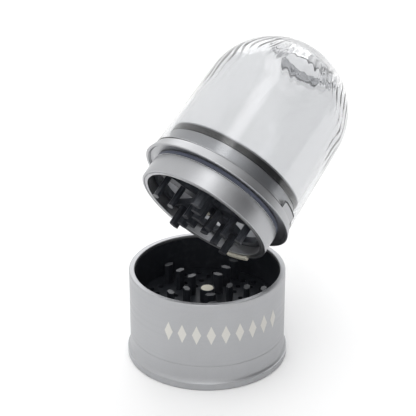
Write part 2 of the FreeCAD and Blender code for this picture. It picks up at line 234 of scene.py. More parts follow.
class Finishes(PropertyGroup):
    """Colours and roughness of the finishes."""
    aluminium: colour("Aluminium", "Bead-blasted, clear anodised aluminium", (0.460, 0.466, 0.480))
    aluminium_deep: colour("Aluminium, deep", "The same where the blasting is deeper", (0.405, 0.409, 0.421))
    aluminium_rough: number("Aluminium roughness", "Roughness of the blasted aluminium", 0.47)
    turned_rough: number("Turned roughness", "Roughness of the lid's turned faces", 0.38)
    cup_bands: number("Cup bands", "How much the turned bands show on the tray and cup", 0.5)
    lid_bands: number("Lid bands", "How much the turned bands show on the lid", 0.35)
    black: colour("Black anodised", "Black anodised aluminium", (0.026, 0.029, 0.036))
    black_grey: colour("Black, faded", "The same where it catches dust", (0.045, 0.049, 0.058))
    worn: colour("Worn tip", "Tips of the teeth where the black has worn", (0.060, 0.063, 0.070))
    slate: colour("Slate", "Slate blue slip ring", (0.105, 0.118, 0.165))
    rubber: colour("Rubber", "Black seal", (0.006, 0.006, 0.007))
    cream: colour("Cream", "Plated magnet and rim pad", (0.74, 0.71, 0.60))
    marking: colour("Marking", "Light laser marking on the cup", (0.66, 0.65, 0.61))
    steel: colour("Steel", "Polished washer", (0.70, 0.71, 0.73))
    glass: colour("Glass", "Clear dome", (0.770, 0.776, 0.786))
    glass_rough: number("Glass roughness", "How much the dome blurs what is behind it", 0.03)
    glass_bend: number("Glass IOR", "How much the dome bends light", 1.47)


class Studio(PropertyGroup):
    """The floor, lights and camera."""
    floor: colour("Floor", "Plain pale floor", (0.97, 0.97, 0.97))
    floor_half: size("Floor half width", "Half the floor's width", 3.0)
    surround: colour("Surround", "Soft light from all round", (1.0, 1.0, 1.0))
    dark: colour("Dark side", "The dimmer side, to the right of the camera", (0.11, 0.11, 0.115))
    bright: colour("Overhead glow", "The soft bright strip overhead", (3.2, 3.2, 3.2))
    softbox: FloatProperty(name="Softbox", description="Power of the softbox behind", default=4.5, unit="POWER")
    softbox_wide: size("Softbox width", "Width of the softbox", 1.3)
    softbox_tall: size("Softbox height", "Height of the softbox", 0.8)
    softbox_at: FloatVectorProperty(name="Softbox place", default=(0.10, 1.10, 0.90), unit="LENGTH")
    softbox_aim: size("Softbox aim", "Height on the cup's axis that the softbox faces", 0.06)
    aim: size("Aim height", "Height on the cup's axis that the camera looks at", 0.0644)
    distance: size("Distance", "Distance from the camera to that point", 0.5873)
    side: size("Side step", "How far to the right of the axis the camera stands", 0.0003)
    elevation: angle("Elevation", "How far the camera looks down", 25.65)
    lens: FloatProperty(name="Lens", description="Focal length", default=128.6, unit="CAMERA")
    sensor: FloatProperty(name="Sensor", description="Width of the sensor", default=36.0, unit="CAMERA")


# -------- materials


class Wire:
    """A value socket that an expression can use."""

    def __init__(self, nodes, socket):
        self.nodes = nodes
        self.socket = socket

    def maths(self, operation, *values):
        """Adds a Math node and gives back its result."""
        return self.nodes.node("ShaderNodeMath", {"operation": operation}, dict(enumerate(values)))

    def __add__(self, other):
        return self.maths("ADD", self, other)

    def __radd__(self, other):
        return self.maths("ADD", other, self)

    def __sub__(self, other):
        return self.maths("SUBTRACT", self, other)

    def __rsub__(self, other):
        return self.maths("SUBTRACT", other, self)

    def __mul__(self, other):
        return self.maths("MULTIPLY", self, other)

    def __rmul__(self, other):
        return self.maths("MULTIPLY", other, self)


class Nodes:
    """A node tree that is built by its methods."""

    def __init__(self, tree):
        self.tree = tree

    def node(self, kind, settings, sockets, output=0):
        """Adds a node, sets it, feeds its sockets and gives back one of its outputs."""
        made = self.tree.nodes.new(kind)
        for name, value in settings.items():
            setattr(made, name, value)
        for name, value in sockets.items():
            self.feed(made.inputs[name], value)
        return Wire(self, made.outputs[output])

    def feed(self, socket, value):
        """Links or sets one socket."""
        if isinstance(value, Wire):
            self.tree.links.new(value.socket, socket)
        else:
            socket.default_value = value

    def ramp(self, value, low, high):
        """A value that goes smoothly from 0 at low to 1 at high."""
        settings = {"interpolation_type": "SMOOTHSTEP"}
        sockets = {"Value": value, "From Min": low, "From Max": high}
        return self.node("ShaderNodeMapRange", settings, sockets, "Result")

    def mix(self, share, first, second):
        """A mix of two colours."""
        sockets = {0: share, 6: whole(first), 7: whole(second)}
        return self.node("ShaderNodeMix", {"data_type": "RGBA"}, sockets, 2)

    def along(self, vector, axis):
        """How far a vector reaches along an axis."""
        return self.node("ShaderNodeVectorMath", {"operation": "DOT_PRODUCT"}, {0: vector, 1: axis}, "Value")


class Finish(Nodes):
    """One procedural material and its node tree."""

    def __init__(self, name):
        self.material = bpy.data.materials.new(name)
        self.material.use_nodes = True
        super().__init__(self.material.node_tree)
        self.tree.nodes.clear()
        self.output = self.tree.nodes.new("ShaderNodeOutputMaterial")
        self.shader = self.tree.nodes.new("ShaderNodeBsdfPrincipled")
        self.tree.links.new(self.shader.outputs[0], self.output.inputs["Surface"])

    def set(self, **values):
        """Feeds the shader's own sockets: their names have underscores for spaces."""
        for name, value in values.items():
            self.feed(self.shader.inputs[name.replace("_", " ")], value)

    def place(self):
        """The object's own coordinates, which ride with the piece."""
        return self.node("ShaderNodeTexCoord", {}, {}, "Object")

    def noise(self, scale, detail=2.0, rough=0.5):
        """Noise at a scale in cells a metre."""
        sockets = {"Vector": self.place(), "Scale": scale, "Detail": detail, "Roughness": rough}
        return self.node("ShaderNodeTexNoise", {}, sockets, "Fac")

    def bands(self, height, scale):
        """Noise that changes with height alone, as turning leaves it."""
        settings = {"noise_dimensions": "1D"}
        sockets = {"W": height, "Scale": scale, "Detail": 4.0, "Roughness": 0.7}
        return self.node("ShaderNodeTexNoise", settings, sockets, "Fac")

    def height(self, place):
        """The height along the Z axis of a place."""
        axis = place.to_3x3() @ Vector((0, 0, 1))
        return self.along(self.place(), axis) - axis.dot(place.translation)

    def bump(self, value, strength, distance):
        """Feeds the shader's normal from a height."""
        sockets = {"Height": value, "Strength": strength, "Distance": distance}
        self.set(Normal=self.node("ShaderNodeBump", {}, sockets))


def whole(shade):
    """A colour with its alpha, or a wire as it is."""
    return shade if isinstance(shade, Wire) else (*shade, 1.0)


def blasted_aluminium(name, rough, place, turning):
    """Satin aluminium: fine blasted grain over faint turned bands, and slow changes of tone."""
    looks = bpy.context.scene.grinder_finishes
    finish = Finish(name)
    grain = finish.noise(2300.0, 3.0, 0.65)
    tone = finish.noise(70.0, 3.0, 0.55)
    bands = finish.bands(finish.height(place), 620.0)
    shade = finish.ramp(tone * 0.3 + grain * 0.4 + bands * 0.3, 0.32, 0.68)
    finish.set(Base_Color=finish.mix(shade, looks.aluminium_deep, looks.aluminium), Metallic=1.0)
    finish.set(Roughness=rough + (grain - 0.5) * 0.25 + (tone - 0.5) * 0.08 + (bands - 0.5) * turning)
    finish.bump(grain + bands * turning, 0.3, 0.00005)
    return finish.material


def black_anodised(name, place=None, tip=0.0, depth=0.0):
    """Black anodised aluminium, with the black worn off towards the tips of teeth."""
    looks = bpy.context.scene.grinder_finishes
    finish = Finish(name)
    grain = finish.noise(2600.0, 2.0, 0.6)
    dust = finish.ramp(finish.noise(420.0, 4.0, 0.6), 0.45, 0.75)
    base = finish.mix(dust, looks.black, looks.black_grey)
    if place is not None:
        worn = finish.ramp(finish.height(place) + (grain - 0.5) * depth, tip - depth, tip)
        base = finish.mix(worn, base, looks.worn)
    finish.set(Base_Color=base, Metallic=0.35, Roughness=0.36 + (grain - 0.5) * 0.2 + dust * 0.12)
    finish.bump(grain, 0.14, 0.00004)
    return finish.material


def satin_plastic(name, shade, fade, rough, scale):
    """Plain moulded plastic or rubber with a faint grain, its patches darker by a share."""
    finish = Finish(name)
    grain = finish.noise(scale, 3.0, 0.6)
    patch = finish.noise(scale * 0.06, 3.0, 0.5)
    finish.set(Base_Color=finish.mix(patch, darker(shade, fade), shade), Roughness=rough + (grain - 0.5) * 0.2)
    finish.bump(grain, 0.2, 0.00004)
    return finish.material


def darker(shade, by):
    """A colour made darker by a share."""
    return tuple(c * (1 - by) for c in shade)


def speckled(name, shade, fade, metallic, rough, vary, noise, relief=0.0):
    """A finish with one fine noise in its colour, its roughness and, where asked, its relief."""
    finish = Finish(name)
    speck = finish.noise(*noise)
    finish.set(Base_Color=finish.mix(speck, darker(shade, fade), shade), Metallic=metallic)
    finish.set(Roughness=rough + (speck - 0.5) * vary)
    if relief:
        finish.bump(speck, relief, 0.00005)
    return finish.material


def plated_cream(name):
    """The pale plating of the disc and ball: a soft metal sheen, slightly speckled."""
    cream = bpy.context.scene.grinder_finishes.cream
    return speckled(name, cream, 0.22, 0.15, 0.42, 0.25, (1900.0, 4.0, 0.65), 0.2)


def clear_glass(name):
    """Clear glass that casts a tinted shadow instead of a dark one."""
    looks = bpy.context.scene.grinder_finishes
    finish = Finish(name)
    finish.set(Base_Color=whole(looks.glass), Transmission_Weight=1.0)
    finish.set(Roughness=looks.glass_rough, IOR=looks.glass_bend)
    smear = finish.noise(26.0, 2.0, 0.5)
    finish.bump(smear, 0.05, 0.0006)
    shadow_ray = finish.node("ShaderNodeLightPath", {}, {}, "Is Shadow Ray")
    through = finish.node("ShaderNodeBsdfTransparent", {}, {"Color": whole(looks.glass)})
    both = {0: shadow_ray, 1: Wire(finish, finish.shader.outputs[0]), 2: through}
    mixed = finish.node("ShaderNodeMixShader", {}, both)
    finish.feed(finish.output.inputs["Surface"], mixed)
    return finish.material


# -------- mesh tools


def rounded(points, radius, steps=3):
    """A closed outline of (radius, height) pairs with each corner rounded."""
    outline = []
    count = len(points)
    for i, corner in enumerate(points):
        here = Vector(corner)
        back = Vector(points[i - 1]) - here
        on = Vector(points[(i + 1) % count]) - here
        opening = back.angle(on)
        reach = radius / math.tan(opening / 2)
        reach = min(reach, 0.45 * back.length, 0.45 * on.length)
        start = here + back.normalized() * reach
        end = here + on.normalized() * reach
        for n in range(steps + 1):
            t = n / steps
            outline.append((1 - t) ** 2 * start + 2 * t * (1 - t) * here + t ** 2 * end)
    return [(p.x, p.y) for p in outline]


def quarter(steps):
    """(sine, 1 - cosine) pairs over a quarter turn, for a rounded edge."""
    turns = [math.pi / 2 * n / steps for n in range(steps + 1)]
    return [(math.sin(t), 1 - math.cos(t)) for t in turns]


def spread(first, last, count):
    """Evenly spaced values from first to last."""
    return [first + (last - first) * n / count for n in range(count + 1)]


def ring_faces(columns, rows):
    """The faces that join closed columns of points all the way round."""
    faces = []
    for n in range(columns):
        a = n * rows
        b = (n + 1) % columns * rows
        faces += [(a + i, b + i, b + (i + 1) % rows, a + (i + 1) % rows) for i in range(rows)]
    return faces


def lathe(outline, segments=192):
    """The vertices and faces of a closed outline turned round Z."""
    vertices = []
    for n in range(segments):
        turn = math.tau * n / segments
        vertices += [(r * math.cos(turn), r * math.sin(turn), z) for r, z in outline]
    return vertices, ring_faces(segments, len(outline))


def mesh_from(name, vertices, faces, place):
    """A mesh in the frame's own coordinates, its seams closed and its normals outward."""
    mesh = bpy.data.meshes.new(name)
    mesh.from_pydata([place @ Vector(v) for v in vertices], [], faces)
    shape = bmesh.new()
    shape.from_mesh(mesh)
    bmesh.ops.remove_doubles(shape, verts=shape.verts, dist=1e-7)
    bmesh.ops.dissolve_degenerate(shape, edges=shape.edges, dist=1e-8)
    bmesh.ops.recalc_face_normals(shape, faces=shape.faces)
    shape.to_mesh(mesh)
    shape.free()
    return mesh


def add_piece(name, mesh, body, material, stands_for=(), bevel=0.0, crease=40.0):
    """A finished piece: shaded, given its material, and riding on its body."""
    piece = bpy.data.objects.new(name, mesh)
    bpy.context.scene.collection.objects.link(piece)
    mesh.materials.append(material)
    mesh.shade_smooth()
    mesh.set_sharp_from_angle(angle=math.radians(crease))
    if bevel:
        edge = piece.modifiers.new("broken_edges", "BEVEL")
        edge.width = bevel
        edge.segments = 2
        edge.limit_method = "ANGLE"
        edge.harden_normals = True
    else:
        even = piece.modifiers.new("even_shading", "WEIGHTED_NORMAL")
        even.keep_sharp = True
    if stands_for:
        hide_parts(*stands_for)
    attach(piece, body)
    return piece


def turned_piece(name, outline, place, body, material, stands_for, segments=192):
    """A piece turned from a closed outline."""
    vertices, faces = lathe(outline, segments)
    return add_piece(name, mesh_from(name, vertices, faces, place), body, material, stands_for)


def section(ring):
    """The four corners of a turned piece's plain section."""
    inner, outer, bottom, top = ring
    return [(inner, bottom), (outer, bottom), (outer, top), (inner, top)]


def half_rounded(corners, radius):
    """A closed outline whose first and last points stay on the axis, with its other corners rounded."""
    outline = rounded(corners, radius)
    steps = len(outline) // len(corners)
    return [corners[0]] + outline[steps:-steps] + [corners[-1]]


def dress(node, material):
    """Gives a CAD node, whose shape stays, its material."""
    target = frame["nodes"][node]
    if not target.material_slots:
        target.data.materials.append(material)
    for holder in target.material_slots:
        holder.material = material


def pin_places(node, place):
    """The middles of a CAD node's separate solids, in the place's own frame."""
    shape = bmesh.new()
    shape.from_mesh(frame["nodes"][node].data)
    bmesh.ops.remove_doubles(shape, verts=shape.verts, dist=1e-6)
    shape.verts.ensure_lookup_table()
    back = place.inverted()
    left = set(shape.verts)
    middles = []
    while left:
        front = [left.pop()]
        island = []
        while front:
            vertex = front.pop()
            island.append(vertex)
            near = {edge.other_vert(vertex) for edge in vertex.link_edges} & left
            left -= near
            front += near
        points = [back @ v.co for v in island]
        low = Vector([min(p[i] for p in points) for i in range(3)])
        high = Vector([max(p[i] for p in points) for i in range(3)])
        middles.append((low + high) / 2)
    shape.free()
    return sorted(middles, key=lambda m: (round(math.atan2(m.y, m.x), 3), m.length))


def tooth_pins(node, place, bottom, top):
    """Six-sided pins where a CAD node has its teeth: long across the arm, with pointed ends."""
    sizes = bpy.context.scene.grinder_cup
    half = sizes.tooth_length / 2
    width = sizes.tooth_width / 2
    side = half / 2
    outline = [(0, half), (-width, side), (-width, -side), (0, -half), (width, -side), (width, side)]
    vertices, faces = [], []
    for middle in pin_places(node, place):
        out = Vector((middle.x, middle.y)).normalized()
        across = Vector((-out.y, out.x))
        corners = [Vector((middle.x, middle.y)) + out * x + across * y for x, y in outline]
        start = len(vertices)
        count = len(corners)
        vertices += [(c.x, c.y, z) for z in (bottom, top) for c in corners]
        faces.append([start + i for i in reversed(range(count))])
        faces.append([start + count + i for i in range(count)])
        for i in range(count):
            j = (i + 1) % count
            faces.append((start + i, start + j, start + count + j, start + count + i))
    return vertices, faces


def sector_block(inner, outer, start, sweep, bottom, tops, steps):
    """A block along part of a ring. tops gives the height of its upper face along the sweep."""
    vertices, faces = [], []
    for n in range(steps + 1):
        turn = start + sweep * n / steps
        for radius, z in section(Extent(inner, outer, bottom, tops(n / steps))):
            vertices.append((radius * math.cos(turn), radius * math.sin(turn), z))
    for n in range(steps):
        a = n * 4
        faces += [(a + i, a + 4 + i, a + 4 + (i + 1) % 4, a + (i + 1) % 4) for i in range(4)]
    last = steps * 4
    faces.append((0, 1, 2, 3))
    faces.append((last + 3, last + 2, last + 1, last))
    return vertices, faces


# -------- tray and cup


class GRINDER_OT_tray(Operator):
    """Turn the catch tray and dress its seal"""
    bl_idname = "grinder.tray"
    bl_label = "Catch tray"

    def execute(self, context):
        s = context.scene.grinder_cup
        floor_edge = s.tray_inner - s.tray_bend
        bend = [(floor_edge + s.tray_bend * out, s.tray_floor + s.tray_bend * up) for out, up in quarter(6)]
        narrowing = TRAY.outer - SHELL.outer
        rise = s.flare_top - s.foot_top
        flare = [(TRAY.outer - narrowing * out, s.foot_top + rise * up) for out, up in quarter(8)]
        edge = s.foot_edge
        foot = [(TRAY.outer - edge + edge * out, edge * up) for out, up in quarter(4)]
        outline = [(0.0, 0.0)] + foot + flare
        outline += [(SHELL.outer, s.seam - s.seam_line), (SHELL.outer - s.seam_line, s.seam)]
        outline += [(LINER.outer, s.seam), (LINER.outer, TRAY.top - s.spigot_edge)]
        outline += [(LINER.outer - s.spigot_edge, TRAY.top), (s.tray_inner, TRAY.top)]
        outline += list(reversed(bend)) + [(0.0, s.tray_floor)]
        looks = context.scene.grinder_finishes
        metal = blasted_aluminium("tray_aluminium", looks.aluminium_rough, UPRIGHT, looks.cup_bands)
        turned_piece("tray_body", outline, UPRIGHT, "tray", metal, ["catch_tray"])
        rubber = satin_plastic("tray_seal_rubber", looks.rubber, 0.3, 0.55, 900.0)
        dress("tray_seal", rubber)
        return {"FINISHED"}


class GRINDER_OT_cup(Operator):
    """Turn the cup's shell and its black liner"""
    bl_idname = "grinder.cup"
    bl_label = "Cup"

    def execute(self, context):
        s = context.scene.grinder_cup
        looks = context.scene.grinder_finishes
        lip = SHELL.top - s.lip_depth
        foot = s.seam + s.seam_line
        room = s.seal_room
        corners = [
            (s.bore, foot),
            (SHELL.outer - s.seam_line, foot),
            (SHELL.outer, foot + s.seam_line),
            (SHELL.outer, SHELL.top),
            (SHELL.inner, SHELL.top),
            (SHELL.inner, lip),
            (s.bore, lip),
            (s.bore, TRAY_SEAL.top + room),
            (TRAY_SEAL.outer + room, TRAY_SEAL.top + room),
            (TRAY_SEAL.outer + room, TRAY_SEAL.bottom - room),
            (s.bore, TRAY_SEAL.bottom - room),
        ]
        metal = blasted_aluminium("cup_aluminium", looks.aluminium_rough, UPRIGHT, looks.cup_bands)
        outline = rounded(corners, s.rim_edge, 4)
        turned_piece("cup_body", outline, UPRIGHT, "cup", metal, ["cup_shell"], 256)
        wall = rounded(section(LINER), s.liner_edge)
        black = black_anodised("liner_black")
        turned_piece("cup_lining", wall, UPRIGHT, "cup", black, ["cup_liner"])
        dress("insert_ring", black_anodised("insert_ring_black"))
        return {"FINISHED"}


class GRINDER_OT_lower_grinder(Operator):
    """Stand the lower teeth, post and magnet on their holed plate"""
    bl_idname = "grinder.lower_grinder"
    bl_label = "Lower grinder"

    def execute(self, context):
        s = context.scene.grinder_cup
        dress("lower_plate", black_anodised("lower_plate_black"))
        worn = black_anodised("lower_teeth_black", UPRIGHT, LOWER_TEETH.top, s.tooth_wear)
        vertices, faces = tooth_pins("lower_teeth", UPRIGHT, LOWER_TEETH.bottom, LOWER_TEETH.top)
        mesh = mesh_from("lower_tooth_pins", vertices, faces, UPRIGHT)
        add_piece("lower_tooth_pins", mesh, "cup", worn, ["lower_teeth"], bevel=s.tooth_edge)
        seat = LOWER_MAGNET.outer + s.magnet_room
        corners = [
            (0.0, LOWER_POST.bottom),
            (LOWER_POST.outer, LOWER_POST.bottom),
            (LOWER_POST.outer, LOWER_POST.top),
            (seat, LOWER_POST.top),
            (seat, LOWER_MAGNET.bottom),
            (0.0, LOWER_MAGNET.bottom),
        ]
        outline = half_rounded(corners, s.post_edge)
        black = black_anodised("lower_post_black")
        turned_piece("lower_post_body", outline, UPRIGHT, "cup", black, ["lower_post"], 64)
        disc = section(LOWER_MAGNET._replace(inner=0.0))
        outline = half_rounded(disc, s.magnet_edge)
        cream = plated_cream("magnet_cream")
        turned_piece("lower_magnet_disc", outline, UPRIGHT, "cup", cream, ["lower_magnet"], 64)
        return {"FINISHED"}


class GRINDER_OT_band(Operator):
    """Mark the plain band of lozenges on the cup's front"""
    bl_idname = "grinder.band"
    bl_label = "Marked band"

    def execute(self, context):
        s = context.scene.grinder_band
        vertices, faces = [], []
        for n in range(s.lozenges):
            middle = s.middle + s.sweep * (n / (s.lozenges - 1) - 0.5)
            self.add_lozenge(s, middle, vertices, faces)
        pale = context.scene.grinder_finishes.marking
        marking = speckled("band_marking", pale, 0.12, 0.1, 0.62, 0.2, (2400.0, 3.0, 0.7))
        mesh = mesh_from("cup_band", vertices, faces, UPRIGHT)
        add_piece("cup_band", mesh, "cup", marking)
        return {"FINISHED"}

    @staticmethod
    def add_lozenge(s, middle, vertices, faces, strips=10):
        """One thin lozenge bent round the cup: a closed skin with its back inside the wall."""
        skins = (SHELL.outer + s.proud, SHELL.outer - s.proud)
        start = len(vertices)
        for skin in skins:
            for i in range(strips + 1):
                across = i / strips * 2 - 1
                tall = max(1 - abs(across), s.blunt) * s.tall / 2
                turn = middle + across * s.wide / 2 / SHELL.outer
                for z in (s.height - tall, s.height + tall):
                    vertices.append((skin * math.cos(turn), skin * math.sin(turn), z))
        back = start + 2 * (strips + 1)
        for i in range(strips):
            a = start + 2 * i
            b = back + 2 * i
            faces += [(a, a + 2, a + 3, a + 1), (b, b + 1, b + 3, b + 2)]
            faces += [(a, b, b + 2, a + 2), (a + 1, a + 3, b + 3, b + 1)]
        last_a, last_b = start + 2 * strips, back + 2 * strips
        faces += [(start, start + 1, back + 1, back), (last_a, last_b, last_b + 1, last_a + 1)]


# -------- lid


class GRINDER_OT_skirt(Operator):
    """Turn the skirt ring with its fine groove, and the washer and slip ring above it"""
    bl_idname = "grinder.skirt"
    bl_label = "Skirt and slip ring"

    def execute(self, context):
        s = context.scene.grinder_lid
        looks = context.scene.grinder_finishes
        half = s.groove_width / 2
        corners = [
            (SKIRT.inner, SKIRT.bottom),
            (s.groove_radius - half, SKIRT.bottom),
            (s.groove_radius - half, s.groove_depth),
            (s.groove_radius + half, s.groove_depth),
            (s.groove_radius + half, SKIRT.bottom),
            (SKIRT.outer, SKIRT.bottom),
            (SKIRT.outer, s.skirt_top),
            (s.neck_radius, s.skirt_top),
            (s.neck_radius, SKIRT.top),
            (s.neck_bore, SKIRT.top),
            (s.neck_bore, s.ledge),
            (SKIRT.inner, s.ledge),
        ]
        outline = rounded(corners, s.edge, 4)
        metal = blasted_aluminium("skirt_aluminium", looks.turned_rough, LID, looks.lid_bands)
        turned_piece("skirt_body", outline, LID, "head", metal, ["skirt_ring"], 256)
        steel = speckled("washer_steel", looks.steel, 0.15, 1.0, 0.20, 0.08, (5200.0, 2.0, 0.5))
        ring = rounded(section(WASHER), s.washer_edge)
        turned_piece("thrust_washer_ring", ring, LID, "head", steel, ["thrust_washer"])
        slate = satin_plastic("slip_slate", looks.slate, 0.25, 0.34, 1500.0)
        ring = rounded(section(SLIP), s.slip_edge)
        turned_piece("slip_ring_band", ring, LID, "slip", slate, ["slip_ring"])
        return {"FINISHED"}


class GRINDER_OT_upper_grinder(Operator):
    """Hang the upper teeth, post and ball from the spoked plate"""
    bl_idname = "grinder.upper_grinder"
    bl_label = "Upper grinder"

    def execute(self, context):
        s = context.scene.grinder_cup
        dress("upper_plate", black_anodised("upper_plate_black"))
        down = LID @ Matrix.Rotation(math.pi, 4, "X")
        worn = black_anodised("upper_teeth_black", down, -UPPER_TEETH.bottom, s.tooth_wear)
        vertices, faces = tooth_pins("upper_teeth", LID, UPPER_TEETH.bottom, UPPER_TEETH.top)
        mesh = mesh_from("upper_tooth_pins", vertices, faces, LID)
        add_piece("upper_tooth_pins", mesh, "head", worn, ["upper_teeth"], bevel=s.tooth_edge)
        dress("upper_post", black_anodised("upper_post_black"))
        middle = (BALL.bottom + BALL.top) / 2
        radius = (BALL.top - BALL.bottom) / 2
        steps = 32
        outline = [
            (radius * math.sin(math.pi * n / steps), middle - radius * math.cos(math.pi * n / steps))
            for n in range(steps + 1)
        ]
        cream = plated_cream("ball_cream")
        turned_piece("pivot_ball_body", outline, LID, "pivot", cream, ["pivot_ball"], 64)
        return {"FINISHED"}


class GRINDER_OT_collar(Operator):
    """Turn the flared collar with its lip and key tabs, and fix the small rim pad"""
    bl_idname = "grinder.collar"
    bl_label = "Collar and pad"

    def execute(self, context):
        s = context.scene.grinder_lid
        looks = context.scene.grinder_finishes
        metal = blasted_aluminium("collar_aluminium", looks.turned_rough, LID, looks.lid_bands)
        corners = [
            (COLLAR.inner, s.recess_top),
            (s.recess_outer, s.recess_top),
            (s.lip_inner, COLLAR.bottom),
            (COLLAR.outer, COLLAR.bottom),
            (s.collar_top_radius, s.collar_top),
            (COLLAR.inner, s.collar_top),
        ]
        vertices, faces = lathe(rounded(corners, s.edge, 4), 256)
        for n in range(s.tab_count):
            start = s.tab_start + math.tau * n / s.tab_count
            points, sides = self.key_tab(s, start)
            shift = len(vertices)
            vertices += points
            faces += [[i + shift for i in side] for side in sides]
        mesh = mesh_from("collar_body", vertices, faces, LID)
        add_piece("collar_body", mesh, "head", metal, ["collar"])
        pad = satin_plastic("pad_cream", looks.cream, 0.2, 0.7, 1300.0)
        vertices, faces = sector_block(
            PAD.inner, PAD.outer, s.pad_start, s.pad_sweep, PAD.bottom, lambda share: PAD.top, 24
        )
        mesh = mesh_from("rim_pad_body", vertices, faces, LID)
        add_piece("rim_pad_body", mesh, "head", pad, ["rim_pad"], bevel=s.pad_edge)
        return {"FINISHED"}

    @staticmethod
    def key_tab(s, start):
        """A tab on the collar's upper face, its two upper corners rounded."""
        outer = s.collar_top_radius - s.tab_inset
        length = s.tab_sweep * outer

        def top(share):
            near = min(share, 1 - share) * length
            short = max(s.tab_corner - near, 0.0)
            return COLLAR.top - s.tab_corner + math.sqrt(s.tab_corner ** 2 - short ** 2)

        return sector_block(s.tab_inner, outer, start, s.tab_sweep, s.collar_top - s.tab_root, top, 72)


class GRINDER_OT_neck(Operator):
    """Turn the neck ring and the black seal that grips the dome"""
    bl_idname = "grinder.neck"
    bl_label = "Neck ring and seal"

    def execute(self, context):
        s = context.scene.grinder_lid
        looks = context.scene.grinder_finishes
        corners = [
            (NECK.inner, NECK.bottom),
            (s.spigot_radius, NECK.bottom),
            (s.spigot_radius, s.flange),
            (NECK.outer, s.flange),
            (NECK.outer, SEAL.bottom - s.seal_room),
            (s.seal_bed, SEAL.bottom - s.seal_room),
            (s.seal_bed, SEAL.top + s.seal_room),
            (NECK.outer, SEAL.top + s.seal_room),
            (NECK.outer, NECK.top),
            (s.neck_wall, NECK.top),
            (s.neck_wall, s.flange),
            (NECK.inner, s.flange),
        ]
        metal = blasted_aluminium("neck_aluminium", looks.turned_rough, LID, looks.lid_bands)
        outline = rounded(corners, s.edge, 4)
        turned_piece("neck_ring_body", outline, LID, "head", metal, ["neck_ring"])
        ring = rounded(section(SEAL), s.seal_edge)
        rubber = satin_plastic("dome_seal_rubber", looks.rubber, 0.3, 0.5, 900.0)
        turned_piece("dome_seal_band", ring, LID, "head", rubber, ["dome_seal"])
        return {"FINISHED"}


# -------- dome


def eight_sided(turn, corner_turn, corner_radius):
    """The distance from the axis to the side of an octagon, with its corners a little rounded."""
    step = math.tau / 8
    off = (turn - corner_turn) % step - step / 2
    side = corner_radius * math.cos(step / 2) / math.cos(off)
    blunt = corner_radius * 0.985
    power = 60.0
    return (side ** -power + blunt ** -power) ** (-1 / power)


def smooth(share):
    """A smooth step from 0 to 1."""
    t = min(max(share, 0.0), 1.0)
    return t * t * (3 - 2 * t)


